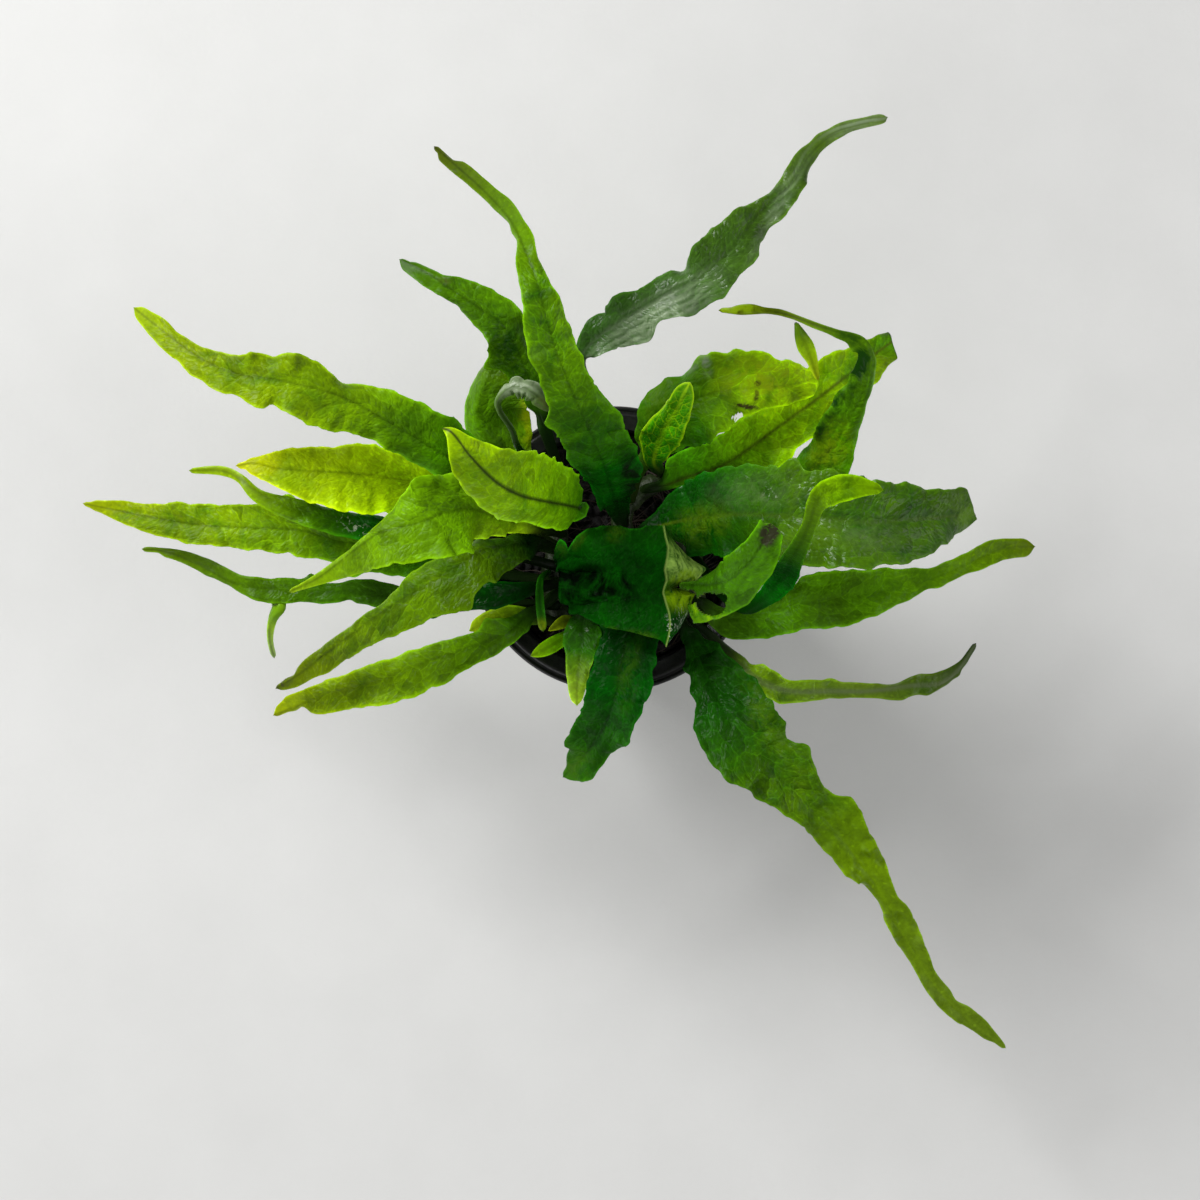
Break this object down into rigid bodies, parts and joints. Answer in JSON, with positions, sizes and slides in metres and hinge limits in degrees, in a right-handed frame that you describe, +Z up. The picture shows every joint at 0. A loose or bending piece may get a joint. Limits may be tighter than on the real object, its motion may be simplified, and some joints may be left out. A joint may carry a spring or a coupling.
{
  "type": "narrow leaf java fern in a net pot",
  "caption": "Aquarium fern with long narrow arching leaves on creeping stems, growing in a slotted black net pot filled with fibrous medium.",
  "frame": {"origin": "centre of the pot's underside", "axes": "+Z up out of the pot; +X to the right and +Y to the top of the reference view, which looks straight down on the plant"},
  "size_m": [0.1772, 0.1724, 0.1383],
  "materials": {
    "pot_plastic": "satin",
    "growing_medium": "matte",
    "creeping_stem": "matte",
    "leaf_fresh": "satin",
    "leaf_yellow": "satin",
    "leaf_mid": "satin",
    "leaf_dark": "gloss",
    "leaf_grey": "gloss",
    "leaf_pale": "satin"
  },
  "bodies": {
    "root": {"net_pot": "pot_plastic", "growing_medium": "growing_medium", "creeping_stem_left": "creeping_stem", "creeping_stem_centre": "creeping_stem", "creeping_stem_right": "creeping_stem", "leaf_upper_left": "leaf_fresh", "leaf_left_yellow": "leaf_yellow", "leaf_arched_top": "leaf_fresh", "leaf_left_broad": "leaf_fresh", "leaf_left_slim": "leaf_dark", "leaf_left_straight": "leaf_fresh", "leaf_left_low": "leaf_mid", "leaf_lower_left": "leaf_fresh", "leaf_lowest_left": "leaf_fresh", "leaf_young_yellow": "leaf_yellow", "leaf_under_lower_left": "leaf_dark", "leaf_top_left": "leaf_mid", "leaf_top_left_lower": "leaf_fresh", "leaf_hooked_small": "leaf_pale", "leaf_tall_back": "leaf_mid", "leaf_wavy_grey": "leaf_grey", "leaf_hooked_long": "leaf_mid", "leaf_brown_rib": "leaf_fresh", "leaf_broad_worn": "leaf_yellow", "leaf_young_veined": "leaf_fresh", "leaf_right_broad": "leaf_grey", "leaf_highest": "leaf_fresh", "leaf_forked": "leaf_yellow", "leaf_centre_ruffled": "leaf_dark", "leaf_bottom": "leaf_mid", "leaf_lower_right_long": "leaf_mid", "leaf_right_thin": "leaf_grey", "leaf_right_straight": "leaf_fresh", "plantlet_leaf_left": "leaf_fresh", "plantlet_leaf_down": "leaf_pale", "plantlet_leaf_small": "leaf_yellow", "sprout_left": "leaf_dark", "plantlet_on_hooked_leaf": "leaf_fresh", "plantlet_on_low_leaf": "leaf_fresh"}
  },
  "joints": []
}
